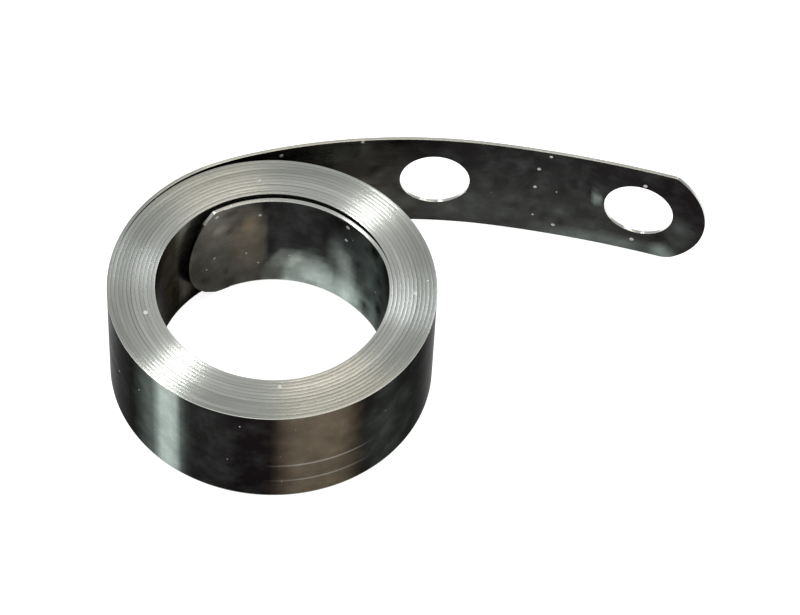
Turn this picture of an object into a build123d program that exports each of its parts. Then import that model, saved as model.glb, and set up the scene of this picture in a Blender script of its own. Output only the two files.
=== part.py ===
"""Constant force spring.

One strip of hardened spring steel, rolled flat on itself into a ring that stands on its
slit edge. The inner end runs on inside the coil and then springs a little away from it.
The outer end leaves the ring as a free arm, which straightens towards its tip and has
two punched holes.

The strip's middle line is a chain of tangent arcs. It starts in front of the coil (-Y)
and runs two ways: inwards along the loose inner turn to its tip, and outwards, clockwise
seen from above, round the coil and along the arm.

Millimetres and degrees. Z is the coil's axis, and the lower slit edge lies at Z = 0.
"""
import os

from build123d import *

# The strip and its crowned ends
strip_width = 16.0
strip_thickness = 0.45
crown_radius = 9.5
low_corner_radius = 3.0     # where the crown meets the lower edge
high_corner_radius = 0.4    # where the crown meets the upper edge

# The coil, from its axis to the strip's inner face. The turns lie a little closer
# together in front than behind, with 0.035 mm to 0.055 mm of air between them.
turns = 12
bore_front = 14.6           # the first turn, in front
bore_back = 14.5            # the second turn, behind
front_pitch = 0.485
back_pitch = 0.505

# The loose inner turn, along the strip's middle line: a stretch that lies against
# the coil, and the part that springs away from it
tail_arcs = ((14.52, 104.0), (11.9, 25.0), (17.0, 15.0), (14.2, 90.0))    # radius, angle

# The free arm, along the strip's middle line
lift_angle = 85.0           # how far the last half-turn follows the coil
arm_arcs = ((20.8, 67.0), (40.0, 8.0), (72.0, 25.0), (150.0, 10.6))    # radius, angle

# The holes in the arm
hole_diameter = 9.0
hole_height = 8.2
tip_to_hole = 8.8
hole_spacing = 26.6

# The punches that cut the ends and holes
punch_margin = 0.5          # beyond the strip's outline
punch_reach = 3.0           # to each side of the plane that a punch is drawn on
tail_punch_clearance = 0.1  # past the tail's outer face, short of the coil

half_thickness = strip_thickness / 2
half_width = strip_width / 2
up = Vector(0, 0, 1)


def winding_arcs():
    """Radius and angle of each arc from the front of the first turn to the arm's tip."""
    arcs = []
    for turn in range(turns):
        front = bore_front + turn * front_pitch
        back = bore_back + turn * back_pitch
        left_radius = (front + back) / 2 + half_thickness
        right_radius = (back + front + front_pitch) / 2 + half_thickness
        arcs += [(left_radius, 180.0), (right_radius, 180.0)]
    last_left_radius = arcs[-2][0]
    return arcs[:-2] + [(last_left_radius, lift_angle)] + list(arm_arcs)


def arc_chain(start, heading, arcs, side):
    """Draw arcs that run on from each other, turning left (side 1) or right (side -1)."""
    chain = []
    for radius, angle in arcs:
        chain.append(JernArc(start, heading, radius, side * angle))
        start, heading = chain[-1] @ 1, chain[-1] % 1
    return chain


def strip_line(offset=0.0):
    """Draw the strip's line at an offset outside its middle line: the tail, then the rest."""
    front = Vector(0, -(bore_front + half_thickness + offset))
    tail_line = [(radius + offset, angle) for radius, angle in tail_arcs]
    winding_line = [(radius + offset, angle) for radius, angle in winding_arcs()]
    tail = arc_chain(front, Vector(1, 0), tail_line, side=1)
    return tail, arc_chain(front, Vector(-1, 0), winding_line, side=-1)


def face_plane(point, along, height):
    """Plane on the strip's middle line, with X along the strip and Y up."""
    return Plane((point.X, point.Y, height), x_dir=along, z_dir=along.cross(up))


# The middle line, and the same line on each face of the strip
with BuildLine():
    tail, winding = strip_line()
tail_tip = face_plane(tail[-1] @ 1, tail[-1] % 1, half_width)
arm_tip = face_plane(winding[-1] @ 1, winding[-1] % 1, half_width)
winding_wire = Wire(winding)

with BuildSketch() as strip_section:
    with BuildLine():
        outer_tail, outer_winding = strip_line(half_thickness)
        inner_tail, inner_winding = strip_line(-half_thickness)
        Line(outer_tail[-1] @ 1, inner_tail[-1] @ 1)
        Line(outer_winding[-1] @ 1, inner_winding[-1] @ 1)
    make_face()

# What the end punch leaves standing of a strip whose tip is at the origin
crown_drop = crown_radius - (crown_radius**2 - half_width**2) ** 0.5
crown_zone = 2 * crown_drop
punch_height = strip_width + 2 * punch_margin
with BuildSketch() as crowned_end:
    with BuildLine():
        low, high = (-crown_drop, -half_width), (-crown_drop, half_width)
        ThreePointArc(low, (0, 0), high)
        Polyline(high, (-crown_zone, half_width), (-crown_zone, -half_width), low)
    make_face()
    for corner, radius in ((low, low_corner_radius), (high, high_corner_radius)):
        fillet(crowned_end.vertices().sort_by_distance(corner)[0], radius)


def end_waste(plane):
    """Sketch what the end punch takes off, on the plane of a strip's tip."""
    with BuildSketch(plane) as waste:
        with Locations((-crown_zone, 0)):
            length = crown_zone + punch_margin
            Rectangle(length, punch_height, align=(Align.MIN, Align.CENTER))
        add(crowned_end.sketch, mode=Mode.SUBTRACT)
    return waste.sketch


with BuildPart() as tail_punch:
    extrude(end_waste(tail_tip), amount=punch_reach, both=True)
    with Locations(tail[-1].center_point + half_width * up):
        outer_radius = tail_arcs[-1][0] + half_thickness + tail_punch_clearance
        Cylinder(outer_radius, punch_height, mode=Mode.INTERSECT)

with BuildPart() as spring_strip:
    extrude(strip_section.sketch, amount=strip_width)
    add(tail_punch.part, mode=Mode.SUBTRACT)
    extrude(end_waste(arm_tip), amount=punch_reach, both=True, mode=Mode.SUBTRACT)
    for distance in (tip_to_hole, tip_to_hole + hole_spacing):
        along_winding = winding_wire.length - distance
        point = winding_wire.position_at(along_winding, PositionMode.LENGTH)
        along = winding_wire.tangent_at(along_winding, PositionMode.LENGTH)
        with BuildSketch(face_plane(point, along, hole_height)):
            Circle(hole_diameter / 2)
        extrude(amount=punch_reach, both=True, mode=Mode.SUBTRACT)

spring_strip.part.label = "spring_strip"
os.makedirs("parts", exist_ok=True)
export_step(spring_strip.part, "parts/spring_strip.step")
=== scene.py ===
# %% [markdown]
# # Constant force spring
#
# A constant force spring is one long strip of hardened spring steel, rolled so tightly that
# its turns lie on each other. Seen from the side it is a dark polished ring with an arm. Seen
# from above it is a stack of thin bright slit edges. This script makes the strip flat, as the
# steel mill does, mixes its two finishes, and rolls it up with Geometry Nodes.
#
# The imported CAD part is the frame that everything is placed in.

import math
import random

import bmesh
import bpy
import numpy as np
from mathutils import Matrix, Vector


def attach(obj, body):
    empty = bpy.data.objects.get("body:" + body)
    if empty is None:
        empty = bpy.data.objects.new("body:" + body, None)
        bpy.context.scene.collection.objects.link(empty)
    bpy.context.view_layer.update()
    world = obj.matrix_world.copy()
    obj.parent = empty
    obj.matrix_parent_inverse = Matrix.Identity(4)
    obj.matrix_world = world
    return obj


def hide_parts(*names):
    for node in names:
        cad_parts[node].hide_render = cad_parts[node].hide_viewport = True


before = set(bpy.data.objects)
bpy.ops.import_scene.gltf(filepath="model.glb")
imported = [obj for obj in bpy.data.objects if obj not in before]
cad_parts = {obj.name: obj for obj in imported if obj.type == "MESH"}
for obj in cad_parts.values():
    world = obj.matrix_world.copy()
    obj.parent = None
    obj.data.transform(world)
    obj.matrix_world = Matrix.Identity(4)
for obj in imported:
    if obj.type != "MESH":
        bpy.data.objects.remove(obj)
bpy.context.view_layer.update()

# %% [markdown]
# ## Camera
#
# A long lens from well above makes the slit edges read as a ring of fine lines. The camera
# leans back from straight down by about two fifths of a right angle, and is rolled slightly,
# as a hand-held one is. Three rotation angles could turn it, but a matrix built from the
# camera's own three axes says the same more plainly.

# %% Camera
camera_height_angle = math.radians(52.14)
camera_roll = math.radians(3.41)
camera_place = Vector((0.01568, -0.26628, 0.35546))
focal_length, sensor_width = 158.13, 36.0       # both in mm
nearest_seen = 0.01        # metres

right = Vector((1, 0, 0))
ahead = Vector((0, math.cos(camera_height_angle), -math.sin(camera_height_angle)))
overhead = right.cross(ahead)
rolled_right = right * math.cos(camera_roll) + overhead * math.sin(camera_roll)
rolled_up = overhead * math.cos(camera_roll) - right * math.sin(camera_roll)

camera = bpy.data.objects.new("camera", bpy.data.cameras.new("camera"))
camera.data.lens = focal_length
camera.data.sensor_width = sensor_width
camera.data.clip_start = nearest_seen
camera.matrix_world = Matrix.Translation(camera_place) @ Matrix(
    (rolled_right, rolled_up, -ahead)).transposed().to_4x4()
bpy.context.scene.collection.objects.link(camera)
bpy.context.scene.camera = camera
print("camera at", [round(value, 3) for value in camera.location])

# %% [markdown]
# ## The path of the strip
#
# The strip's middle line is a chain of arcs that touch each other smoothly: the loose inner
# turn, which lies against the coil and then springs away from it, twelve turns of two
# half-circles each, and the arm, which straightens in four steps. The sizes are those of the
# CAD part. Each arc is a pair, its radius and the angle it turns through.

# %% Sizes of the coil
mm = 0.001
strip_width = 16 * mm
strip_thickness = 0.45 * mm
turns = 12
bore_front, bore_back = 14.6 * mm, 14.5 * mm
front_pitch, back_pitch = 0.485 * mm, 0.505 * mm
tail_arcs = ((14.52 * mm, 104.0), (11.9 * mm, 25.0), (17 * mm, 15.0), (14.2 * mm, 90.0))
lift_angle = 85.0
arm_arcs = ((20.8 * mm, 67.0), (40 * mm, 8.0), (72 * mm, 25.0), (150 * mm, 10.6))
half_thickness = strip_thickness / 2
print(turns, "turns of strip", strip_width / mm, "mm wide and", strip_thickness / mm, "mm thick")

# %% [markdown]
# The front ends of the half-circles step outwards by one pitch and the back ends by another,
# because no coil is wound quite round. The last turn stops where the arm lifts off.

# %% The arcs of the winding
winding_arcs = []
for turn in range(turns):
    front = bore_front + turn * front_pitch
    back = bore_back + turn * back_pitch
    winding_arcs.append(((front + back) / 2 + half_thickness, 180.0))
    winding_arcs.append(((back + front + front_pitch) / 2 + half_thickness, 180.0))
last_left_radius = winding_arcs[-2][0]
winding_arcs = winding_arcs[:-2] + [(last_left_radius, lift_angle)] + list(arm_arcs)
print(len(winding_arcs), "arcs from the first front to the arm's tip")

# %% [markdown]
# A spiral formula would miss the loose turn and the arm. Everything turns the same way, so one
# short loop can walk the whole chain of arcs instead. It starts at the front of the bore and
# walks inwards along the loose turn, and then from the same place outwards.

# %% Points of the middle line
def walk(start, heading, arcs, side, step=0.4 * mm):
    """Points along tangent arcs. Side is -1 to turn clockwise and 1 to turn the other way."""
    points = [start]
    for radius, angle in arcs:
        to_centre = Vector((-heading.y, heading.x)) * side
        centre = points[-1] + to_centre * radius
        spoke = points[-1] - centre
        count = math.ceil(radius * math.radians(angle) / step)
        for index in range(1, count + 1):
            turned = Matrix.Rotation(side * math.radians(angle) * index / count, 2)
            points.append(centre + turned @ spoke)
        heading = turned @ heading
    return points


front_point = Vector((0, -(bore_front + half_thickness)))
tail_points = walk(front_point, Vector((1, 0)), tail_arcs, 1)
winding_points = walk(front_point, Vector((-1, 0)), winding_arcs, -1)
path_points = tail_points[:0:-1] + winding_points
steps = [(b - a).length for a, b in zip(path_points, path_points[1:])]
path_length = sum(steps)

tail_length = sum(steps[:len(tail_points) - 1])
arm_length = sum(radius * math.radians(angle) for radius, angle in arm_arcs)
last_front = path_length - arm_length - last_left_radius * math.radians(lift_angle)
print(f"the strip is {path_length / mm:.0f} mm long, {tail_length / mm:.0f} mm of it loose")

# %% [markdown]
# Geometry Nodes can look up a place on a curve by its distance along it. A poly curve through
# the points is enough for that, as they lie closer together than the strip is thick.

# %% The path as a curve
path_curve = bpy.data.curves.new("strip_path", "CURVE")
path_curve.dimensions = "3D"
path_spline = path_curve.splines.new("POLY")
path_spline.points.add(len(path_points) - 1)
for point, place in zip(path_spline.points, path_points):
    point.co = (place.x, place.y, 0, 1)
path = bpy.data.objects.new("strip_path", path_curve)
bpy.context.scene.collection.objects.link(path)
print("path of", len(path_points), "points")

# %% [markdown]
# ## The flat blank
#
# Before it is rolled, the strip is a flat blank: two long slit edges, a crowned end at each
# tip, and two punched holes near one of them. The CAD strip could be dressed as it is, but its
# loose triangles have no rows to carry a finish along the metal. Modelled flat, a clean one
# needs no curved sums. X runs along the strip from the inner tip, Y goes through its thickness
# and Z across its width.
#
# A sheet of faces covers each side. It stops short of the outline by the radius of the edge
# rounding, and a rounded rim joins the two sides all the way round. The outline is kept as
# points with a direction that points out of the metal, so the same few lines make the rim of
# a slit edge, a crowned end and a hole.

# %% Sizes of the blank
edge_radius = 0.02 * mm
support = 0.12 * mm         # width of the row beside the rim, bared too by the deburring
column_step = 0.75 * mm
crown_radius = 9.5 * mm
low_corner_radius, high_corner_radius = 3.0 * mm, 0.4 * mm
hole_radius, hole_height = 4.5 * mm, 8.2 * mm
tip_to_hole, hole_spacing = 8.8 * mm, 26.6 * mm
patch_reach = 6.4 * mm      # from a hole's axis to the ends of the patch round it

inner_rows = np.linspace(edge_radius + support, strip_width - edge_radius - support, 15)
fine_rows = [edge_radius, *inner_rows, strip_width - edge_radius]
kept_rows = (0, 1, 8, 15, 16)      # the rows that are enough inside the coil
coarse_rows = [fine_rows[row] for row in kept_rows]
print(len(fine_rows) - 1, "rows where the strip shows,", len(coarse_rows) - 1, "in the coil")

# %% [markdown]
# A crowned end is one large arc, with a generous fillet at its lower corner and a sharp one
# at its upper corner. The outline is worked out once, for a tip at the origin, as points with
# their outward directions. The two tips then place it in their own way.

# %% The outline of a crowned end
def arc_points(centre, radius, first, last, count):
    """Points on an arc with their outward directions, without the last one."""
    points = []
    for angle in np.linspace(first, last, count, endpoint=False):
        out = Vector((math.cos(angle), math.sin(angle)))
        points.append((centre + out * radius, out))
    return points


def fillet_centre(radius, side):
    """Centre of the fillet between the crown and a slit edge, side -1 low and 1 high."""
    across = side * (strip_width / 2 - radius)
    reach = math.sqrt((crown_radius - radius) ** 2 - across**2)
    return Vector((reach - crown_radius, across)), math.atan2(across, reach)


def end_outline(low_count, crown_count, high_count):
    """The crowned end's points, from the lower slit edge round to the upper one."""
    low_centre, low_angle = fillet_centre(low_corner_radius, -1)
    high_centre, high_angle = fillet_centre(high_corner_radius, 1)
    quarter = math.pi / 2
    outline = arc_points(low_centre, low_corner_radius, -quarter, low_angle, low_count)
    outline += arc_points(Vector((-crown_radius, 0)), crown_radius, low_angle, high_angle,
                          crown_count)
    outline += arc_points(high_centre, high_corner_radius, high_angle, quarter, high_count)
    outline.append((high_centre + Vector((0, high_corner_radius)), Vector((0, 1))))
    middle = Vector((0, strip_width / 2))
    return [(point + middle, out) for point, out in outline]


print("a crowned end starts", round(-end_outline(4, 12, 2)[0][0].x / mm, 2), "mm from its tip")

# %% [markdown]
# The sheet is kept as flat points and faces until both sides are made from it. The lower and
# upper runs collect what borders on the slit edges, from the inner tip to the arm's tip.

# %% Points of the flat sheet
flat_points, flat_faces = [], []
lower_run, upper_run = [], []
down, up = Vector((0, -1)), Vector((0, 1))


def flat_point(along, across):
    """Adds a point to the sheet and gives its number."""
    flat_points.append(Vector((along, across)))
    return len(flat_points) - 1


def edge_points(low, high):
    """Records two sheet points as bordering on the slit edges."""
    lower_run.append((low, Vector((flat_points[low].x, 0)), down))
    upper_run.append((high, Vector((flat_points[high].x, strip_width)), up))


def add_column(along, rows):
    """Adds a column of points from the lower slit edge to the upper one."""
    column = [flat_point(along, across) for across in rows]
    edge_points(column[0], column[-1])
    return column


print("a column every", column_step / mm, "mm")

# %% [markdown]
# Faces join each column to the next. Where many rows meet few, a face simply has more corners
# on one side. They lie in one straight line across the strip, so the face stays flat.

# %% Faces between the columns
def join_columns(left, right):
    """Faces between two columns with the same rows."""
    for row in range(len(left) - 1):
        flat_faces.append((left[row], right[row], right[row + 1], left[row + 1]))


def join_rows(fine, coarse, fine_is_left):
    """Faces between a fine column and a coarse one; a coarse face has several fine corners."""
    for row, (first, last) in enumerate(zip(kept_rows, kept_rows[1:])):
        many = fine[first:last + 1]
        few = [coarse[row], coarse[row + 1]]
        flat_faces.append((*many[::-1], *few) if fine_is_left else (*few[::-1], *many))


def add_columns(column, stops, rows):
    """Goes on from a column to each of the stops, and gives the last column."""
    for along in stops:
        after = add_column(along, rows)
        join_columns(column, after)
        column = after
    return column


def stops_between(first, last):
    """Places of the columns after the first, as evenly spaced as fits up to the last."""
    return np.linspace(first, last, math.ceil((last - first) / column_step) + 1)[1:]


print("the strip takes about", len(stops_between(0, path_length)), "columns")

# %% [markdown]
# A hole could be cut with a Boolean, but that leaves long thin faces, which shade badly on a
# mirror finish. Rings of faces that close in on the hole keep the surface smooth.

# %% A patch of rings round a hole
ring_shares = (0.35, 0.68, 0.94, 1.0)      # of the way from the patch's border to the hole


def ring_patch(outer, hole_along):
    """Fills the space between a closed run of points and the hole in it; gives its rim."""
    centre = Vector((hole_along, hole_height))
    rings = [outer]
    for share in ring_shares:
        ring = []
        for index in outer:
            out = (flat_points[index] - centre).normalized()
            rim_point = centre + out * (hole_radius + edge_radius)
            ring.append(flat_point(*flat_points[index].lerp(rim_point, share)))
        rings.append(ring)
    for wide, narrow in zip(rings, rings[1:]):
        for index, corner in enumerate(wide):
            after = (index + 1) % len(wide)
            flat_faces.append((corner, wide[after], narrow[after], narrow[index]))
    hole_rim = []
    for index in rings[-1]:
        out = (flat_points[index] - centre).normalized()
        hole_rim.append((index, centre + out * hole_radius, -out))
    return hole_rim[::-1]


print("rings at", ring_shares, "of the way to a hole", 2 * hole_radius / mm, "mm across")

# %% [markdown]
# Now the sheet is laid out from the inner tip to the arm's tip. The inner tip's outline needs
# one point for each row of the sheet, so it is worked out row by row: on the crown, or on the
# large fillet where the row is low.

# %% The outline of the inner tip
tail_rim = []
low_centre, low_angle = fillet_centre(low_corner_radius, -1)
for across in fine_rows:
    drop = math.sqrt(crown_radius**2 - (across - strip_width / 2) ** 2) - crown_radius
    out = Vector((drop + crown_radius, across - strip_width / 2)).normalized()
    place = Vector((drop, across))
    if across < low_corner_radius and math.atan2(out.y, out.x) < low_angle:
        rise = low_corner_radius - max(across, edge_radius)
        out = Vector((math.sqrt(low_corner_radius**2 - rise**2), -rise)).normalized()
        place = low_centre + Vector((0, strip_width / 2)) + out * low_corner_radius
    tail_rim.append((place, out))
tail_rim[0] = (Vector((low_centre.x, 0)), down)
tail_rim[-1] = (Vector((fillet_centre(high_corner_radius, 1)[0].x, strip_width)), up)
print(len(tail_rim), "points on the inner tip")

# %% [markdown]
# The sheet starts as a fan of columns. The first follows the tip's outline, each one after it
# is a little straighter, and the last is upright.

# %% The fan at the inner tip
tail_fan = 8 * mm
fan_columns = 10
fan_end = [place - out * edge_radius for place, out in tail_rim]
column = [flat_point(-place.x, place.y) for place in fan_end]
tail_end_run = [(index, Vector((-place.x, place.y)), Vector((-out.x, out.y)))
                for index, (place, out) in zip(column, tail_rim)]
for step_index in range(1, fan_columns + 1):
    share = step_index / fan_columns
    after = []
    for place, across in zip(fan_end, fine_rows):
        after.append(flat_point(-place.x + (tail_fan + place.x) * share,
                                place.y + (across - place.y) * share))
    edge_points(after[0], after[-1])
    join_columns(column, after)
    column = after
print("the fan has", fan_columns, "columns in", tail_fan / mm, "mm")

# %% [markdown]
# The coil is nine tenths of the strip, and little of it shows but its edges and two plain
# walls, so it gets few rows. The fine rows stop near the end of the loose turn, and start
# again on the arm.

# %% The columns along the coil
coil_start = tail_length - 4 * mm
coil_end = path_length - 66 * mm
column = add_columns(column, stops_between(tail_fan, coil_start), fine_rows)
coarse = add_column(coil_start + column_step, coarse_rows)
join_rows(column, coarse, fine_is_left=True)
coarse = add_columns(coarse, stops_between(coil_start + column_step, coil_end), coarse_rows)
column = add_column(coil_end + column_step, fine_rows)
join_rows(column, coarse, fine_is_left=False)
print("few rows from", round(coil_start / mm), "mm to", round(coil_end / mm), "mm")

# %% [markdown]
# The hole nearer to the coil sits in a rectangular patch, with columns before and after it.

# %% The patch round the inner hole
tip_hole = path_length - tip_to_hole
inner_hole = tip_hole - hole_spacing
column = add_columns(
    column, stops_between(coil_end + column_step, inner_hole - patch_reach), fine_rows)

patch_low, patch_high = [], []
patch_stops = stops_between(inner_hole - patch_reach, inner_hole + patch_reach)
for along in patch_stops[:-1]:
    patch_low.append(flat_point(along, fine_rows[0]))
    patch_high.append(flat_point(along, fine_rows[-1]))
    edge_points(patch_low[-1], patch_high[-1])
after = add_column(patch_stops[-1], fine_rows)
hole_rims = [ring_patch(patch_low + after + patch_high[::-1] + column[::-1], inner_hole)]
column = add_columns(
    after, stops_between(inner_hole + patch_reach, tip_hole - patch_reach), fine_rows)
print("hole at", round(inner_hole / mm), "mm, in a patch", 2 * patch_reach / mm, "mm long")

# %% [markdown]
# The patch round the last hole has the arm's crowned end as its border. With it the outline
# is whole, and runs along the lower edge, round the tip and back along the upper edge.

# %% The arm's tip
tip_place = Vector((path_length, 0))
tip_outline = end_outline(low_count=6, crown_count=22, high_count=3)
tip_end = [(place + tip_place, out) for place, out in tip_outline]
tip_low, tip_high, tip_run = [], [], []
for along in stops_between(tip_hole - patch_reach, tip_end[0][0].x)[:-1]:
    tip_low.append(flat_point(along, fine_rows[0]))
    lower_run.append((tip_low[-1], Vector((along, 0)), down))
for place, out in tip_end:
    tip_run.append((flat_point(*(place - out * edge_radius)), place, out))
for along in stops_between(tip_hole - patch_reach, tip_end[-1][0].x)[:-1]:
    tip_high.append(flat_point(along, fine_rows[-1]))
    upper_run.append((tip_high[-1], Vector((along, strip_width)), up))
tip_ring = tip_low + [index for index, _, _ in tip_run] + tip_high[::-1] + column[::-1]
hole_rims.append(ring_patch(tip_ring, tip_hole))
outline_rim = lower_run + tip_run + upper_run[::-1] + tail_end_run[::-1]
print(len(flat_points), "flat points,", len(flat_faces), "flat faces")

# %% [markdown]
# ## From sheet to solid blank
#
# The rim's section is a small round at each corner with a flat between them, as a slit edge is
# after it has been deburred. A Bevel modifier could round it, but here the rim is wanted as
# faces of its own, to be given the bare finish and a UV map. The widths along the section are
# added up for that map.

# %% The rim's section
rim_angles = [math.radians(angle) for angle in (30, 60, 90)]
rim_section = [(edge_radius * math.sin(angle), half_thickness - edge_radius
                + edge_radius * math.cos(angle)) for angle in rim_angles]
rim_section += [(rise, -offset) for rise, offset in rim_section[::-1]]
section_widths = [0.0]
full_section = [(0, half_thickness), *rim_section, (0, -half_thickness)]
for before, after in zip(full_section, full_section[1:]):
    section_widths.append(section_widths[-1] + math.dist(before, after))
print("the rim is", round(section_widths[-1] / mm, 3), "mm from side to side")

# %% [markdown]
# The sheet is used twice, once for each side, with the second copy facing the other way. The
# UV map records where each corner lies, across the strip and along it, in metres, so that a
# finish can follow the metal round the coil.

# %% Both sides
blank_mesh = bmesh.new()
uv_layer = blank_mesh.loops.layers.uv.new("strip")
is_edge = blank_mesh.faces.layers.int.new("slit_edge")
sides = []
for offset in (half_thickness, -half_thickness):
    sides.append([blank_mesh.verts.new((point.x, offset, point.y)) for point in flat_points])
for side, verts in enumerate(sides):
    for face in flat_faces:
        corners = face if side else face[::-1]
        made = blank_mesh.faces.new([verts[index] for index in corners])
        for loop in made.loops:
            loop[uv_layer].uv = (loop.vert.co.z, loop.vert.co.x)
print(len(blank_mesh.faces), "faces on the two sides")

# %% [markdown]
# One loop closes the outline and both holes. At each point of the border it sets the rim's
# section square to the outline, and then joins each section to the next. The rim is marked as
# bare steel, except round the inner tip up to its sharp corner, because that end was cropped
# before the steel was blackened.

# %% The rim
cropped_reach, cropped_height = 6 * mm, 15 * mm
for rim in (outline_rim, *hole_rims):
    loops = []
    for index, place, out in rim:
        ring = [sides[0][index]]
        for rise, offset in rim_section:
            spot = place - out * (edge_radius - rise)
            ring.append(blank_mesh.verts.new((spot.x, offset, spot.y)))
        loops.append(ring + [sides[1][index]])
    walked = 0.0
    for number, ring in enumerate(loops):
        after = loops[(number + 1) % len(loops)]
        place = rim[number][1]
        gap = (rim[(number + 1) % len(rim)][1] - place).length
        for row in range(len(ring) - 1):
            made = blank_mesh.faces.new((ring[row], after[row], after[row + 1], ring[row + 1]))
            made[is_edge] = 0 if place.x < cropped_reach and place.y < cropped_height else 1
            for loop, (down_rim, onward) in zip(made.loops, ((0, 0), (0, 1), (1, 1), (1, 0))):
                loop[uv_layer].uv = (section_widths[row + down_rim], walked + onward * gap)
        walked += gap
print(len(blank_mesh.faces), "faces with the rims")

# %% [markdown]
# Deburring also bares a narrow row of the sides next to the rim. On the coil that row catches
# the light between two turns, so it gets the bare finish too.

# %% The bared rows
slack = 0.01 * mm
bared_rows = 0
for face in blank_mesh.faces:
    low = min(vert.co.z for vert in face.verts)
    high = max(vert.co.z for vert in face.verts)
    beside_rim = high < inner_rows[0] + slack or low > inner_rows[-1] - slack
    if beside_rim and max(vert.co.x for vert in face.verts) < coil_end:
        face[is_edge] = 1
        bared_rows += 1
print(bared_rows, "faces beside the rim or on it are bare")

# %% [markdown]
# Slitting leaves a burr on the upper edge. It nearly closes the gaps between the last four
# turns, and comes and goes along the others, which is why some of the lines on the ring look
# darker than others. Two sines, one within the other, come and go without an even beat.

# %% The burr
burr, burr_depth = 0.028 * mm, 0.05 * mm
last_turns_length = 440 * mm    # measured back from the last front
last_turns = (last_front - last_turns_length, coil_end)
waver_length, drift_length = 11 * mm, 31 * mm
for vert in blank_mesh.verts:
    along = vert.co.x
    if (vert.co.y < 0 and vert.co.z > strip_width - burr_depth
            and tail_length < along < last_turns[1]):
        drift = 2 * math.sin(along / drift_length)
        waver = 0.5 + 0.5 * math.sin(along / waver_length + drift)
        vert.co.y -= burr if along > last_turns[0] else burr * waver

# The outermost wall is drawn in by a hair, to stay inside the CAD part's box
outermost_length, drawn_in = 140 * mm, 0.006 * mm
for vert in blank_mesh.verts:
    if vert.co.y > 0 and vert.co.x > last_front - outermost_length:
        vert.co.y -= drawn_in
open_edges = sum(not edge.is_manifold for edge in blank_mesh.edges)
print(len(blank_mesh.faces), "faces,", open_edges, "open edges")

# %% [markdown]
# ## Haze and stains
#
# The sides of the strip are polished almost black, but handling leaves them cloudy. Oil,
# fine wear and the last trace of the temper colours scatter light, some of it cool and some
# warm. An even noise would put clouds everywhere, and on the real strip they lie where it was
# held and wiped. So each cloud is placed one by one on the flat blank. Some clouds are painted
# light instead: painted highlights where the lamps' reflections fall on the walls, and painted
# light that lifts the deep shade in narrow gaps.
#
# A place is easiest to name by its compass angle on the rolled coil. Three short functions
# turn that angle into a distance along the strip.

# %% Places along the strip
def coil_along(angle):
    """Distance along the strip of a place on the coil's outer wall, by its compass angle."""
    return last_front + math.radians(270 - angle) * last_left_radius


def bore_along(angle):
    """Distance along the strip of a place on the first turn's left, by its compass angle."""
    return tail_length + math.radians(270 - angle) * winding_arcs[0][0]


def tail_along(angle):
    """Distance along the strip of a place on the loose inner turn, by its compass angle."""
    still_to_turn, along = angle + 90, tail_length
    for radius, arc in tail_arcs:
        turned = min(still_to_turn, arc)
        along -= radius * math.radians(turned)
        still_to_turn -= turned
    return along


print("the coil's left is", round(coil_along(180) / mm), "mm along, the bore's",
      round(bore_along(180) / mm), "mm, the loose turn's back", round(tail_along(90) / mm), "mm")

# %% [markdown]
# Each cloud is an ellipse on one side of the blank. A soft one fades from its heart, and a
# hard one only near its reach. Its strength says how much of the dark steel it hides, and its
# warmth how brown it is.

# %% The clouds
def cover(spot, along, across, reach_along, reach_across, softness):
    """How thick a cloud is at a spot of the blank, from 1 in its heart to 0 past its reach."""
    away = math.hypot((spot.x - along) / (reach_along * mm),
                      (spot.z - across * mm) / (reach_across * mm))
    share = min(1.0, max(0.0, (1 - away) / softness))
    return share * share * (3 - 2 * share)


outer, inner = 1, -1
whole = 80      # a reach across that leaves no fade towards the edges
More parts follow.
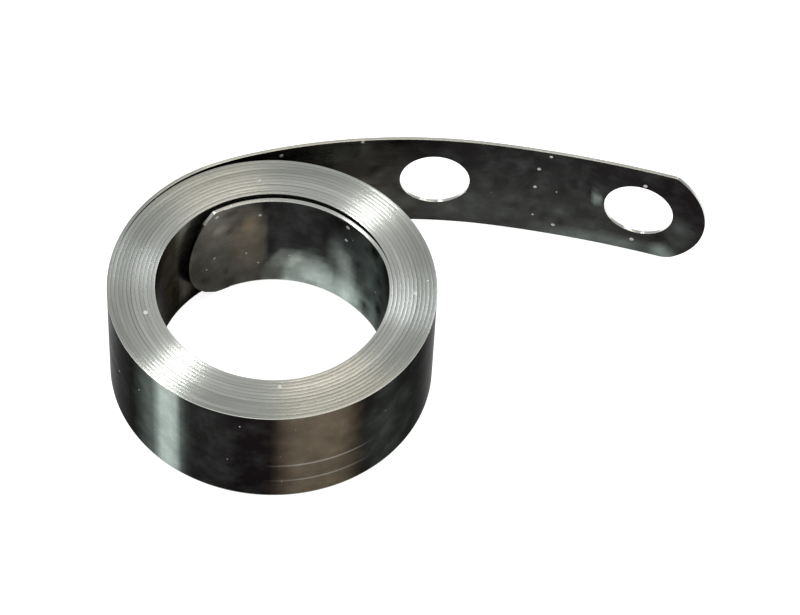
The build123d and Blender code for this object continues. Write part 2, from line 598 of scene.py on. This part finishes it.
# side, along, across in mm, reach along and across in mm, softness, strength, warmth
clouds_and_painted_light = [
    # the coil's outer wall: painted highlights where the lamps' reflections run down the wall,
    # white near 235 degrees and warm near 290
    (outer, coil_along(235), 8, 2.3, whole, 0.6, 0.40, 0.0),
    (outer, coil_along(232), 8, 5.6, whole, 1.0, 0.18, 0.0),
    (outer, coil_along(290), 8, 6.4, whole, 0.65, 0.145, 0.7),
    (outer, coil_along(217), 8, 5.5, whole, 0.8, 0.035, 0.1),
    (outer, coil_along(252), 8, 4.0, whole, 0.8, 0.015, 0.0),
    (outer, coil_along(321), 5, 8.0, 24, 0.8, 0.055, 0.1),
    # the left of the bore, and its top at the back: painted light that lifts the deep shade
    # beside the loose turn's end and in the gap along the top at the back
    (inner, bore_along(142), 15, 2.8, 11, 0.9, 0.60, 0.4),
    (inner, bore_along(163), 8, 7.0, whole, 0.7, 0.042, 0.4),
    (inner, bore_along(157), 15, 5.5, 9.0, 0.9, 0.13, 0.6),
    (inner, bore_along(92), 15, 15, 5.0, 0.5, 0.60, 0.2),
    # the loose turn: smears, and painted reflections of the lamps, pale near 38 to 66 degrees
    # and warm near 107 to 125
    (inner, tail_along(122), 8, 6.4, 14, 0.14, 0.075, 0.4),
    (inner, tail_along(125), 14, 4.5, 9.0, 1.0, 0.09, 0.4),
    (inner, tail_along(108), 9, 3.2, 7.5, 0.8, 0.06, 0.8),
    (inner, tail_along(107), 12, 1.6, 2.2, 1.0, 0.10, 1.0),
    (inner, tail_along(84), 0, 4.6, 6.9, 0.15, 0.10, 0.2),
    (inner, tail_along(75), 0, 4.2, 7.4, 0.25, 0.20, 0.0),
    (inner, tail_along(66), -1, 4.8, 7.4, 0.6, 0.32, 0.0),
    (inner, tail_along(53), 4, 2.1, 7.4, 0.9, 0.28, 0.0),
    (inner, tail_along(20), 8, 7.0, whole, 0.8, 0.040, 0.0),
    (inner, tail_along(51), 1, 3.2, 5.5, 0.8, 0.32, 0.0),
    (inner, tail_along(60), 7, 2.0, 8.0, 0.8, 0.08, 0.0),
    (inner, tail_along(38), 1, 5.5, 6.0, 0.9, 0.20, 0.0),
    (inner, tail_along(40), 10, 6.5, 12, 0.8, 0.07, 0.0),
    (inner, tail_along(80), 10, 6.0, whole, 0.6, 0.015, 0.0),
    # the arm: smears, and near its root painted light that lifts the coil's shade
    (inner, path_length - 62 * mm, 10, 28, 20, 0.9, 0.14, 0.4),
    (inner, path_length - 50 * mm, 14.5, 10, 6.0, 1.0, 0.20, 0.3),
    (inner, path_length - 40 * mm, 0, 52, 12, 1.0, 0.05, 0.2),
    (inner, path_length - 22 * mm, 7, 22, 14, 1.0, 0.02, 0.0),
    (inner, path_length - 13 * mm, 0, 11, 3.0, 0.8, 0.12, 0.0),
    (inner, path_length - 5 * mm, 0.8, 2.6, 1.8, 0.8, 0.22, 0.0),
    (inner, path_length - 3 * mm, 5, 2.6, 5.5, 0.9, 0.035, 0.0),
    (inner, path_length - 14.3 * mm, 8.8, 0.9, 1.6, 0.8, 0.20, 0.0),
]
print(len(clouds_and_painted_light), "clouds_and_painted_light")

# %% [markdown]
# Finger marks mottle the clouds on the loose turn and the arm. They are many and small, so
# they are drawn at random, with a fixed seed. Half of them thicken a cloud and half thin it.

# %% Finger marks
marks = random.Random(8)
mottles = []
for first, last, count in ((0, tail_length, 90), (path_length - 60 * mm, path_length, 110)):
    for _ in range(count):
        mottles.append((marks.uniform(first, last), marks.uniform(0, 16),
                        marks.uniform(0.8, 1.9), marks.uniform(0.8, 2.2), 0.8,
                        marks.choice((-0.5, 0.5))))
print(len(mottles), "finger marks")

# %% [markdown]
# Five point attributes carry all this to the finishes: the haze with the painted light, its
# warmth, the stretch with the scratches, how dusty a side is, and how much a turn's edges were
# handled. The outer turns are handled most, and their slit edges get duller on the way out.

# %% Point attributes
scratched_stretch = (coil_along(291.5), 4.6, 9.2, 6, 0.45)
first_dulled = last_front - 800 * mm
thinnest_haze = 0.2         # share of a cloud that the finger marks leave at the least
inner_dust, outer_dust = 1.0, 0.4

layers = {name: blank_mesh.verts.layers.float.new(name)
          for name in ("haze_and_painted_light", "warmth", "scratched", "dusty", "handled")}
for vert in blank_mesh.verts:
    haze_and_painted_light, warmth, mottle = 0.0, 0.0, 1.0
    for side, *shape, strength, warm in clouds_and_painted_light:
        if vert.co.y * side > 0:
            share = cover(vert.co, *shape) * strength
            warmth += share * warm
            haze_and_painted_light += share
    if haze_and_painted_light > 0 and vert.co.y < 0:
        for *shape, strength in mottles:
            mottle += cover(vert.co, *shape) * strength
    vert[layers["haze_and_painted_light"]] = haze_and_painted_light * max(thinnest_haze, mottle)
    vert[layers["warmth"]] = warmth / haze_and_painted_light if haze_and_painted_light > 0 else 0.0
    vert[layers["scratched"]] = cover(vert.co, *scratched_stretch) if vert.co.y > 0 else 0.0
    vert[layers["dusty"]] = inner_dust if vert.co.y < 0 else outer_dust
    dulled = (vert.co.x - first_dulled) / (last_turns[0] - first_dulled)
    vert[layers["handled"]] = min(1.0, max(0.0, dulled)) if vert.co.x < last_turns[1] else 0.0

print(list(layers), "on", len(blank_mesh.verts), "points")

# %% [markdown]
# The blank is complete. It becomes a plain object, still flat, ready to be rolled.

# %% The blank as an object
blank_data = bpy.data.meshes.new("spring_strip")
blank_mesh.to_mesh(blank_data)
blank_mesh.free()
spring = bpy.data.objects.new("spring", blank_data)
bpy.context.scene.collection.objects.link(spring)
print(spring.name, "is flat, with", len(blank_data.polygons), "faces")

# %% [markdown]
# ## Finishes
#
# One function turns a hex colour, as a paint chart gives it, into the linear values that
# shaders work in. Another starts a material with an empty tree, and one small function adds a
# node with its settings and links.

# %% Helpers for node trees
def linear(hex_colour):
    """Linear RGBA of an sRGB hex colour."""
    channels = [int(hex_colour[index:index + 2], 16) / 255 for index in (1, 3, 5)]
    return (*[value / 12.92 if value <= 0.04045 else ((value + 0.055) / 1.055) ** 2.4
              for value in channels], 1.0)


def new_material(name):
    """A material with an empty node tree, and that tree."""
    material = bpy.data.materials.new(name)
    material.use_nodes = True
    material.node_tree.nodes.clear()
    return material, material.node_tree


def add_node(tree, kind, inputs=(), **settings):
    """Adds a node. Inputs are (socket name or number, value or the socket that feeds it)."""
    node = tree.nodes.new(kind)
    for name, value in settings.items():
        setattr(node, name, value)
    for name, value in inputs:
        if isinstance(value, bpy.types.NodeSocket):
            tree.links.new(value, node.inputs[name])
        else:
            node.inputs[name].default_value = value
    return node


print("the palest bare steel is", [round(value, 3) for value in linear("#dcdfd9")])

# %% [markdown]
# The sides are hardened and tempered carbon steel, rolled bright, then blackened by heat and
# oil and polished by the neighbouring turns. That gives a very dark mirror, a little streaky
# along the strip. An image could show it, but patterns on the UV map stay sharp at any size.
#
# A cloudy noise breaks the haze and painted light from the blank up into patches of about
# 3 mm. The same noise leaves a faint bloom where no cloud lies.

# %% Haze and painted light on the blackened sides
polished, tree = new_material("blackened_polished_spring_steel")
place = add_node(tree, "ShaderNodeUVMap", uv_map="strip")
haze_and_painted_light = add_node(tree, "ShaderNodeAttribute", attribute_name="haze_and_painted_light")
warmth = add_node(tree, "ShaderNodeAttribute", attribute_name="warmth")
cloudy = add_node(tree, "ShaderNodeTexNoise",
                  [("Vector", place.outputs["UV"]), ("Scale", 1 / (2.9 * mm)),
                   ("Detail", 4.0), ("Roughness", 0.6)])
break_up = add_node(tree, "ShaderNodeMapRange",
                    [("Value", cloudy.outputs[0]), ("From Min", 0.3), ("From Max", 0.7),
                     ("To Min", 0.82), ("To Max", 1.18)])
haze_and_painted_light_here = add_node(tree, "ShaderNodeMath",
                     [(0, haze_and_painted_light.outputs["Fac"]), (1, break_up.outputs[0])], operation="MULTIPLY")
faint = add_node(tree, "ShaderNodeMapRange",
                 [("Value", cloudy.outputs[0]), ("From Min", 0.45), ("From Max", 0.7),
                  ("To Min", 0.0), ("To Max", 0.016)])
all_haze_and_painted_light = add_node(tree, "ShaderNodeMath",
                    [(0, haze_and_painted_light_here.outputs[0]), (1, faint.outputs[0])],
                    operation="ADD", use_clamp=True)
# The cool and warm colours serve the smears and also the painted highlights and painted light.
haze_and_painted_light_colour = add_node(tree, "ShaderNodeMix",
                       [(0, warmth.outputs["Fac"]), (6, linear("#d6e6df")),
                        (7, linear("#c8a478"))], data_type="RGBA")
steel_with_haze_and_painted_light = add_node(tree, "ShaderNodeMix",
                       [(0, all_haze_and_painted_light.outputs[0]), (6, linear("#1b1819")),
                        (7, haze_and_painted_light_colour.outputs[2])], data_type="RGBA")
print("haze takes", len(tree.nodes), "nodes")

# %% [markdown]
# Two scratches run round the coil where it has rubbed on a guide. They follow the strip, so
# they are lines of equal height on the UV map: a ping-pong of the height is zero at each line.

# %% Scratches
scratch_spacing, scratch_core, scratch_reach = 3.1 * mm, 0.07 * mm, 0.20 * mm
scratch_strength = 0.24
scratched_height = 7.5 * mm     # keeps the lines at 3.1 and 6.2 mm, and one on the bared edge
scratched = add_node(tree, "ShaderNodeAttribute", attribute_name="scratched")
split = add_node(tree, "ShaderNodeSeparateXYZ", [(0, place.outputs["UV"])])
from_line = add_node(tree, "ShaderNodeMath",
                     [(0, split.outputs["X"]), (1, scratch_spacing / 2)], operation="PINGPONG")
line = add_node(tree, "ShaderNodeMapRange",
                [("Value", from_line.outputs[0]), ("From Min", scratch_core),
                 ("From Max", scratch_reach), ("To Min", scratch_strength), ("To Max", 0.0)])
low_down = add_node(tree, "ShaderNodeMath",
                    [(0, split.outputs["X"]), (1, scratched_height)], operation="LESS_THAN")
low_line = add_node(tree, "ShaderNodeMath",
                    [(0, line.outputs[0]), (1, low_down.outputs[0])], operation="MULTIPLY")
line_here = add_node(tree, "ShaderNodeMath",
                     [(0, low_line.outputs[0]), (1, scratched.outputs["Fac"])],
                     operation="MULTIPLY")
steel_colour = add_node(tree, "ShaderNodeMix",
                        [(0, line_here.outputs[0]), (6, steel_with_haze_and_painted_light.outputs[2]),
                         (7, linear("#dcdedb"))], data_type="RGBA")
print("two scratches,", scratch_spacing / mm, "mm apart")

# %% [markdown]
# Oily steel catches dust. A Voronoi texture on Object coordinates puts one round speck in
# each of its cells, and the surface cuts through some of them. Dust isn't metal, so the
# specks are taken out of the metallic value too.

# %% Dust on the sides
def add_dust(tree, clean_colour, cell_size, rarity, smallest, largest, share):
    """Round specks over a colour. Gives the dusted colour and where the metal still shows."""
    room = add_node(tree, "ShaderNodeTexCoord")
    cells = add_node(tree, "ShaderNodeTexVoronoi",
                     [("Vector", room.outputs["Object"]), ("Scale", 1 / cell_size)])
    size = add_node(tree, "ShaderNodeMapRange",
                    [("Value", cells.outputs["Color"]), ("From Min", rarity),
                     ("From Max", 0.9), ("To Min", smallest), ("To Max", largest)])
    size_here = add_node(tree, "ShaderNodeMath", [(0, size.outputs[0]), (1, share)],
                         operation="MULTIPLY")
    speck = add_node(tree, "ShaderNodeMath",
                     [(0, cells.outputs["Distance"]), (1, size_here.outputs[0])],
                     operation="LESS_THAN")
    colour = add_node(tree, "ShaderNodeMix",
                      [(0, speck.outputs[0]), (6, clean_colour), (7, linear("#e6e9e4"))],
                      data_type="RGBA")
    metal = add_node(tree, "ShaderNodeMath", [(0, 1.0), (1, speck.outputs[0])],
                     operation="SUBTRACT")
    return colour.outputs[2], metal.outputs[0]


# Specks up to 0.6 mm wide
dusty = add_node(tree, "ShaderNodeAttribute", attribute_name="dusty")
colour, metal = add_dust(tree, steel_colour.outputs[2], cell_size=2.2 * mm, rarity=0.40,
                         smallest=0.02, largest=0.14, share=dusty.outputs["Fac"])
print("dusted,", len(tree.nodes), "nodes")

# %% [markdown]
# Rolling marks run along the strip, so light spreads across it. The shader's anisotropy does
# that, with its direction taken from the UV map, and a grain of noise stretched along the strip
# varies the roughness. Both finishes end in this way, so it is written once.

# %% Metal with a grain
def strip_grain(tree, place, width, length, detail):
    """Grain that runs along the strip, by the width and length of its marks."""
    stretched = add_node(tree, "ShaderNodeMapping",
                         [("Vector", place.outputs["UV"]),
                          ("Scale", (1 / width, 1 / length, 1.0))])
    noise = add_node(tree, "ShaderNodeTexNoise",
                     [("Vector", stretched.outputs[0]), ("Scale", 1.0), ("Detail", detail)])
    return noise.outputs[0]


def grained_metal(tree, inputs, pattern, smoothest, roughest):
    """Ends a tree with metal that spreads light across the strip, and is rougher by a pattern."""
    roughness = add_node(tree, "ShaderNodeMapRange",
                         [("Value", pattern), ("From Min", 0.3), ("From Max", 0.7),
                          ("To Min", smoothest), ("To Max", roughest)])
    tangent = add_node(tree, "ShaderNodeTangent", direction_type="UV_MAP", uv_map="strip")
    steel = add_node(tree, "ShaderNodeBsdfPrincipled",
                     [*inputs, ("Roughness", roughness.outputs[0]),
                      ("Tangent", tangent.outputs[0])])
    add_node(tree, "ShaderNodeOutputMaterial", [("Surface", steel.outputs[0])])


streak_width, streak_length = 0.4 * mm, 10 * mm
print("streaks", streak_width / mm, "mm wide and", streak_length / mm, "mm long")

# %% [markdown]
# The oily black layer darkens the mirror at slanting views, and the specular tint does the
# same. A coat over the metal would brighten it there instead.

# %% The polished steel
streaks = strip_grain(tree, place, streak_width, streak_length, detail=3.0)
grained_metal(tree, [("Base Color", colour), ("Metallic", metal), ("Anisotropic", 0.7),
                     ("Specular Tint", linear("#9c9c9c"))], streaks, 0.25, 0.32)
print(polished.name, len(tree.nodes), "nodes")

# %% [markdown]
# The edges are where the strip was slit from a wider coil and deburred. The cut is bare steel,
# pale and silky, with lines that run along the strip. Under one lamp those lines gather into
# the bright fans that turn round the ring as it is moved. Real lines of that fineness would
# only flicker, so anisotropy stands for them. The tone wanders in patches 16 mm long, and is
# duller where the edges were handled.

# %% Tone of the bare slit edges
bare, tree = new_material("bare_slit_spring_steel")
place = add_node(tree, "ShaderNodeUVMap", uv_map="strip")
tone = strip_grain(tree, place, width=2.5 * mm, length=16 * mm, detail=3.0)
handled = add_node(tree, "ShaderNodeAttribute", attribute_name="handled")
duller_tone = add_node(tree, "ShaderNodeMath",
                       [(0, handled.outputs["Fac"]), (1, -0.3), (2, tone)],
                       operation="MULTIPLY_ADD")
tone_share = add_node(tree, "ShaderNodeMapRange",
                      [("Value", duller_tone.outputs[0]), ("From Min", 0.1), ("From Max", 0.7)])
steel_colour = add_node(tree, "ShaderNodeMix",
                        [(0, tone_share.outputs[0]), (6, linear("#aeb2ab")),
                         (7, linear("#dcdfd9"))], data_type="RGBA")
print("tone takes", len(tree.nodes), "nodes")

# %% [markdown]
# Dust lies on the edges too, in fewer but larger specks. The lines of the slit vary the
# roughness. Their real spacing of a few hundredths of a millimetre is drawn as 0.08 mm, about
# the finest that shows.

# %% The bare steel
# Specks up to 0.75 mm wide
colour, metal = add_dust(tree, steel_colour.outputs[2], cell_size=2.5 * mm, rarity=0.50,
                         smallest=0.0, largest=0.15, share=1.0)
slit_lines = strip_grain(tree, place, width=0.08 * mm, length=6.5 * mm, detail=2.0)
grained_metal(tree, [("Base Color", colour), ("Metallic", metal), ("Anisotropic", 1.0)],
              slit_lines, 0.22, 0.27)
print(bare.name, len(tree.nodes), "nodes")

# %% [markdown]
# ## Rolling the strip
#
# The winding machine's work is done by Geometry Nodes. A Curve modifier could bend the blank
# too, but a tree shows each step of it, and can leave the edges a little uneven. Each point of
# the blank looks up the path at its own distance along it, steps sideways by its place in the
# thickness, and keeps its height. The inputs are named, so that another spring can use it.

# %% Inputs of the rolling tree
roll = bpy.data.node_groups.new("roll_strip", "GeometryNodeTree")
sockets = {}
for name, kind in (("Blank", "NodeSocketGeometry"), ("Path", "NodeSocketObject"),
                   ("Width", "NodeSocketFloat"), ("Unevenness", "NodeSocketFloat"),
                   ("Unevenness Length", "NodeSocketFloat"), ("Seed", "NodeSocketFloat"),
                   ("Sides", "NodeSocketMaterial"), ("Edges", "NodeSocketMaterial")):
    sockets[name] = roll.interface.new_socket(name, in_out="INPUT", socket_type=kind)
roll.interface.new_socket("Strip", in_out="OUTPUT", socket_type="NodeSocketGeometry")
print("inputs:", list(sockets))

# %% [markdown]
# The sideways direction is square to the path and level, so it is the cross product of
# straight up and the path's tangent.

# %% The place on the path
given = add_node(roll, "NodeGroupInput")
position = add_node(roll, "GeometryNodeInputPosition")
parts = add_node(roll, "ShaderNodeSeparateXYZ", [(0, position.outputs[0])])
path_info = add_node(roll, "GeometryNodeObjectInfo", [("Object", given.outputs["Path"])],
                     transform_space="RELATIVE")
look_up = add_node(roll, "GeometryNodeSampleCurve",
                   [("Curves", path_info.outputs["Geometry"]), ("Length", parts.outputs["X"])],
                   mode="LENGTH", use_all_curves=True)
sideways = add_node(roll, "ShaderNodeVectorMath",
                    [(0, (0.0, 0.0, 1.0)), (1, look_up.outputs["Tangent"])],
                    operation="CROSS_PRODUCT")
outwards = add_node(roll, "ShaderNodeVectorMath", [(0, sideways.outputs[0])],
                    operation="NORMALIZE")
shift = add_node(roll, "ShaderNodeVectorMath",
                 [(0, outwards.outputs[0]), ("Scale", parts.outputs["Y"])], operation="SCALE")
print("look-up takes", len(roll.nodes), "nodes")

# %% [markdown]
# No coil is wound quite level. A slow noise along the strip lets the turns' upper edges stand
# a few hundredths of a millimetre apart. It fades to nothing at the lower edge, where the coil
# stands on the floor.

# %% The unevenness
wave_place = add_node(roll, "ShaderNodeMath",
                      [(0, parts.outputs["X"]), (1, given.outputs["Unevenness Length"])],
                      operation="DIVIDE")
wave_seed = add_node(roll, "ShaderNodeMath",
                     [(0, wave_place.outputs[0]), (1, given.outputs["Seed"])], operation="ADD")
wave = add_node(roll, "ShaderNodeTexNoise",
                [("W", wave_seed.outputs[0]), ("Scale", 1.0), ("Detail", 1.0)],
                noise_dimensions="1D")
drop = add_node(roll, "ShaderNodeMath",
                [(0, wave.outputs[0]), (1, given.outputs["Unevenness"])], operation="MULTIPLY")
height_share = add_node(roll, "ShaderNodeMath",
                        [(0, parts.outputs["Z"]), (1, given.outputs["Width"])], operation="DIVIDE")
drop_here = add_node(roll, "ShaderNodeMath",
                     [(0, drop.outputs[0]), (1, height_share.outputs[0])], operation="MULTIPLY")
height = add_node(roll, "ShaderNodeMath",
                  [(0, parts.outputs["Z"]), (1, drop_here.outputs[0])], operation="SUBTRACT")
rise = add_node(roll, "ShaderNodeCombineXYZ", [("Z", height.outputs[0])])
print("with the unevenness,", len(roll.nodes), "nodes")

# %% [markdown]
# The points move, the faces are shaded smooth, and the two finishes go on: the sides' finish
# everywhere, and then the edges' finish on the faces that the blank marked.

# %% The rolled strip
on_path = add_node(roll, "ShaderNodeVectorMath",
                   [(0, look_up.outputs["Position"]), (1, shift.outputs[0])], operation="ADD")
rolled = add_node(roll, "ShaderNodeVectorMath",
                  [(0, on_path.outputs[0]), (1, rise.outputs[0])], operation="ADD")
moved = add_node(roll, "GeometryNodeSetPosition",
                 [("Geometry", given.outputs["Blank"]), ("Position", rolled.outputs[0])])
smooth = add_node(roll, "GeometryNodeSetShadeSmooth", [("Geometry", moved.outputs[0])])
real = add_node(roll, "GeometryNodeRealizeInstances", [("Geometry", smooth.outputs[0])])
all_sides = add_node(roll, "GeometryNodeSetMaterial",
                     [("Geometry", real.outputs[0]), ("Material", given.outputs["Sides"])])
edge_faces = add_node(roll, "GeometryNodeInputNamedAttribute", [("Name", "slit_edge")],
                      data_type="INT")
edges = add_node(roll, "GeometryNodeSetMaterial",
                 [("Geometry", all_sides.outputs[0]), ("Selection", edge_faces.outputs[0]),
                  ("Material", given.outputs["Edges"])])
add_node(roll, "NodeGroupOutput", [(0, edges.outputs[0])])
print(roll.name, len(roll.nodes), "nodes")

# %% [markdown]
# The modifier's inputs are set by their identifiers before the object is first evaluated. The
# result becomes a plain mesh, and the flat blank, the modifier and the path are done with.

# %% Roll it
modifier = spring.modifiers.new("roll", "NODES")
modifier.node_group = roll
inputs = {"Path": path, "Width": strip_width, "Unevenness": 0.05 * mm,
          "Unevenness Length": 35 * mm, "Seed": 7.0, "Sides": polished, "Edges": bare}
for name, value in inputs.items():
    modifier[sockets[name].identifier] = value
depsgraph = bpy.context.evaluated_depsgraph_get()
rolled_mesh = bpy.data.meshes.new_from_object(
    spring.evaluated_get(depsgraph), preserve_all_data_layers=True, depsgraph=depsgraph)
spring.modifiers.clear()
spring.data = rolled_mesh
spring.data.name = "spring"
bpy.data.objects.remove(path)
bpy.data.meshes.remove(blank_data)
print(len(rolled_mesh.polygons), "faces,", [material.name for material in rolled_mesh.materials])

# %% [markdown]
# The finished strip rides on the part's one body and stands for the CAD strip.

# %% Join the frame
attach(spring, "root")
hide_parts("spring_strip")
print("on body root:", spring.name)

# %% [markdown]
# ## Floor, lamps and world
#
# The floor is a plain pale sheet. Lamps light it to a middling grey only, so that the steel
# isn't overlit, and its paleness for the eye and for reflections comes from a little glow of
# its own. The object's shadow stays, as the glow adds to the lit colour and doesn't hide it.
# The floor lies a hair below the coil, so that the two don't share a plane.

# %% Floor
floor_reach, floor_drop, floor_glow = 3.0, 0.02 * mm, 0.85
corners = [(x * floor_reach, y * floor_reach, 0) for x, y in ((-1, -1), (1, -1), (1, 1), (-1, 1))]
floor_mesh = bpy.data.meshes.new("floor")
floor_mesh.from_pydata(corners, [], [(0, 1, 2, 3)])
floor = bpy.data.objects.new("floor", floor_mesh)
floor.location.z = -floor_drop
bpy.context.scene.collection.objects.link(floor)
paper, tree = new_material("matt_white_paper")
rays = add_node(tree, "ShaderNodeLightPath")
glowing = rays.outputs["Is Camera Ray"]
for kind in ("Is Glossy Ray", "Is Transmission Ray"):
    glowing = add_node(tree, "ShaderNodeMath", [(0, glowing), (1, rays.outputs[kind])],
                       operation="MAXIMUM").outputs[0]
glow = add_node(tree, "ShaderNodeMath", [(0, glowing), (1, floor_glow)], operation="MULTIPLY")
matt = add_node(tree, "ShaderNodeBsdfDiffuse", [("Color", linear("#e6e6e6"))])
light = add_node(tree, "ShaderNodeEmission", [("Strength", glow.outputs[0])])
both = add_node(tree, "ShaderNodeAddShader", [(0, matt.outputs[0]), (1, light.outputs[0])])
add_node(tree, "ShaderNodeOutputMaterial", [("Surface", both.outputs[0])])
floor_mesh.materials.append(paper)
print("floor of", paper.name)

# %% [markdown]
# Three softboxes hang above. On the slit edges each makes two bright fans, opposite each
# other. A fan lies where the direction half way between the lamp and the camera leans straight
# along the ring's radius, so the lamp is placed by the compass angle of its fan and by its
# reach, the sideways lean from the mirror direction. Its narrow side is set across the fan.

# %% Lamps
lamp_distance = 0.6
lamps = (
    # name, fan's compass angle, reach, length along the fan, width across it, brightness, tint
    ("narrow_white", 227.0, 0.50, 0.24, 0.041, 24.0, "#ffffff"),
    ("wide_warm", 295.5, 0.50, 0.22, 0.228, 2.65, "#ffecd2"),
    ("right_fill", 172.0, -0.48, 0.20, 0.13, 4.0, "#f4f6ff"),
)
mirrored = Vector((0, math.cos(camera_height_angle), 0))
for name, fan_angle, reach, length, width, brightness, tint in lamps:
    fan = Vector((math.cos(math.radians(fan_angle)), math.sin(math.radians(fan_angle)), 0))
    towards = mirrored + fan * reach
    towards.z = math.sqrt(1 - towards.length_squared)
    across = towards.cross(fan).normalized()
    data = bpy.data.lights.new(name, "AREA")
    data.shape = "RECTANGLE"
    data.size, data.size_y = length, width
    data.energy = brightness * math.pi * width * length
    data.color = linear(tint)[:3]
    lamp = bpy.data.objects.new(name, data)
    lamp.matrix_world = Matrix.Translation(towards * lamp_distance) @ Matrix(
        (across.cross(towards), across, towards)).transposed().to_4x4()
    bpy.context.scene.collection.objects.link(lamp)
    print(name, [round(value, 2) for value in towards])

# %% [markdown]
# A plain white world fills the shadows. It is kept at about half strength, so that the black
# steel stays dark. The Standard view transform shows colours as they are written.

# %% World
sky_strength = 0.55
world = bpy.data.worlds.new("studio")
world.use_nodes = True
sky = world.node_tree.nodes["Background"]
sky.inputs["Color"].default_value = linear("#ffffff")
sky.inputs["Strength"].default_value = sky_strength
bpy.context.scene.world = world
bpy.context.scene.view_settings.view_transform = "Standard"
print("world at", sky_strength)
